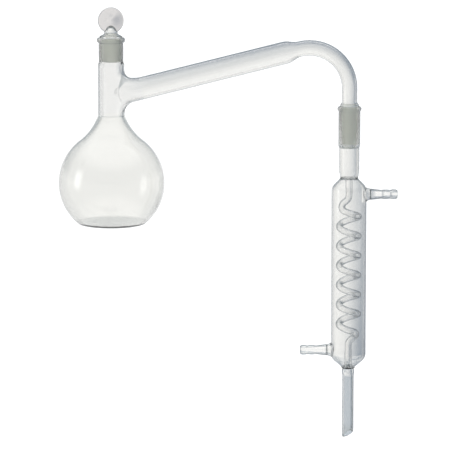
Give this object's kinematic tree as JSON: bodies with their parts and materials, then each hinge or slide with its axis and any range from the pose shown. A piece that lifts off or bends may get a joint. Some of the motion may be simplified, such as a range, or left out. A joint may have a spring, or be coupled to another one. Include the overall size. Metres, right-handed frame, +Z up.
{
  "type": "distillation apparatus",
  "caption": "Glass distilling flask with a sloping side arm, a ground stopper and a jacketed coil condenser that hangs on the arm's ground cone.",
  "frame": {"origin": "centre of the flask's flat base", "axes": "+Z up along the flask's neck and the condenser; +X horizontally from the neck towards the condenser; +Y away from the viewer of the picture"},
  "size_m": [0.3383, 0.106, 0.4338],
  "materials": {
    "clear_glass": "clear, fire-polished",
    "ground_joint_glass": "clear, with a frosted ground zone",
    "coil_glass": "clear, fire-polished"
  },
  "bodies": {
    "flask": {"flask_bulb": "clear_glass", "flask_neck": "clear_glass", "stopper_socket": "ground_joint_glass", "side_arm": "clear_glass", "arm_reducer": "clear_glass", "arm_bend": "clear_glass", "drip_cone": "ground_joint_glass"},
    "stopper": {"stopper_plug": "ground_joint_glass", "stopper_grip": "clear_glass"},
    "condenser": {"condenser_socket": "ground_joint_glass", "condenser_head": "clear_glass", "upper_ring_seal": "clear_glass", "water_jacket": "clear_glass", "water_outlet": "clear_glass", "water_inlet": "clear_glass", "coil_inlet_stem": "coil_glass", "condenser_coil": "coil_glass", "coil_outlet_stem": "coil_glass", "lower_ring_seal": "clear_glass", "drip_tube": "clear_glass"}
  },
  "joints": [
    {"name": "stopper_lift", "type": "slide", "parent": "flask", "child": "stopper", "axis": [0, 0, 1], "range_m": [0, 0.07]},
    {"name": "condenser_swivel", "type": "hinge", "parent": "flask", "child": "condenser", "pos_m": [0.23694, 0, 0], "axis": [0, 0, 1], "continuous": true}
  ]
}
